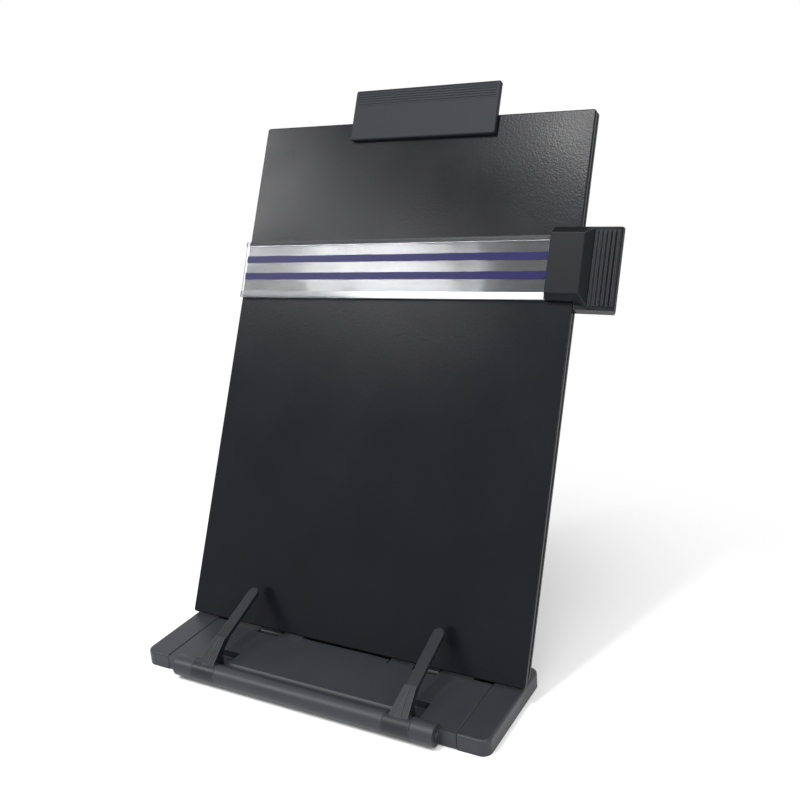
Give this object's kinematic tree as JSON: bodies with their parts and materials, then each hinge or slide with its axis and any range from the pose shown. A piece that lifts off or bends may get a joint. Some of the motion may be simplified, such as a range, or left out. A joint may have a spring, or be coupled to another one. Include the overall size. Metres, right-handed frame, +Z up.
{
  "type": "copy holder",
  "caption": "Desk copy holder: a leaning panel on a flat base, with a sprung page clip, swinging page holders and a clear striped line guide on a slider at the panel's edge.",
  "frame": {"origin": "on the desk, midway across, under the lower edge of the panel's front face", "axes": "+Z up, +Y away from the reader, +X to the reader's right"},
  "size_m": [0.2324, 0.2259, 0.2982],
  "materials": {
    "panel_abs": "fine spark-eroded texture with a low sheen",
    "base_abs": "fine moulded grain",
    "clip_abs": "satin moulded face",
    "clear_acrylic": "clear, polished",
    "blue_ink": "printed",
    "white_pvc": "satin extrusion",
    "steel": "turned and zinc plated",
    "spring_steel": "drawn wire and rolled strip",
    "rubber_pads": "matte",
    "clip_rubber": "matte"
  },
  "bodies": {
    "base": {"base_frame": "base_abs", "ledge": "base_abs", "base_pads": "rubber_pads", "ledge_screws": "steel", "arm_rod": "steel", "hinge_pins": "steel", "arm_spring_left": "spring_steel", "arm_spring_right": "spring_steel"},
    "panel": {"panel_front": "panel_abs", "panel_back": "panel_abs", "panel_screws": "steel", "prop_pin": "steel", "clip_pin": "steel", "clip_spring": "spring_steel"},
    "prop": {"prop_leg": "base_abs", "foot_rod": "steel"},
    "clip": {"clip_plate": "clip_abs", "clip_pad": "clip_rubber"},
    "slider": {"slider_front": "base_abs", "slider_back": "base_abs", "slider_screws": "steel", "slider_leaf": "spring_steel", "guide_strip": "clear_acrylic", "guide_stripes": "blue_ink", "guide_lip": "white_pvc"},
    "arm_l": {"arm_left": "base_abs"},
    "arm_r": {"arm_right": "base_abs"}
  },
  "joints": [
    {"name": "panel_tilt", "type": "hinge", "parent": "base", "child": "panel", "pos_m": [0, 0.0042, 0.005], "axis": [-1, 0, 0], "range_deg": [-4, 20]},
    {"name": "prop_swing", "type": "hinge", "parent": "panel", "child": "prop", "pos_m": [0, 0.05268, 0.09427], "axis": [1, 0, 0], "range_deg": [-8, 40]},
    {"name": "clip_open", "type": "hinge", "parent": "panel", "child": "clip", "pos_m": [0.0044, 0.1303, 0.28273], "axis": [-1, 0, 0], "range_deg": [0, 18], "stiffness_Nm_per_rad": 0.1, "springref_deg": -34.38, "deforming": ["clip_spring"]},
    {"name": "guide_slide", "type": "slide", "parent": "panel", "child": "slider", "axis": [0, 0.4226, 0.9063], "range_m": [-0.16, 0.056]},
    {"name": "arm_left_swing", "type": "hinge", "parent": "base", "child": "arm_l", "pos_m": [-0.0587, -0.0436, 0.0063], "axis": [1, 0, 0], "range_deg": [0, 80], "stiffness_Nm_per_rad": 0.03, "springref_deg": -45.84, "deforming": ["arm_spring_left"]},
    {"name": "arm_right_swing", "type": "hinge", "parent": "base", "child": "arm_r", "pos_m": [0.0587, -0.0436, 0.0063], "axis": [1, 0, 0], "range_deg": [0, 80], "stiffness_Nm_per_rad": 0.03, "springref_deg": -45.84, "deforming": ["arm_spring_right"]}
  ],
  "couplings": [
    {"joint": "prop_swing", "follows": "panel_tilt", "ratio": 2}
  ]
}
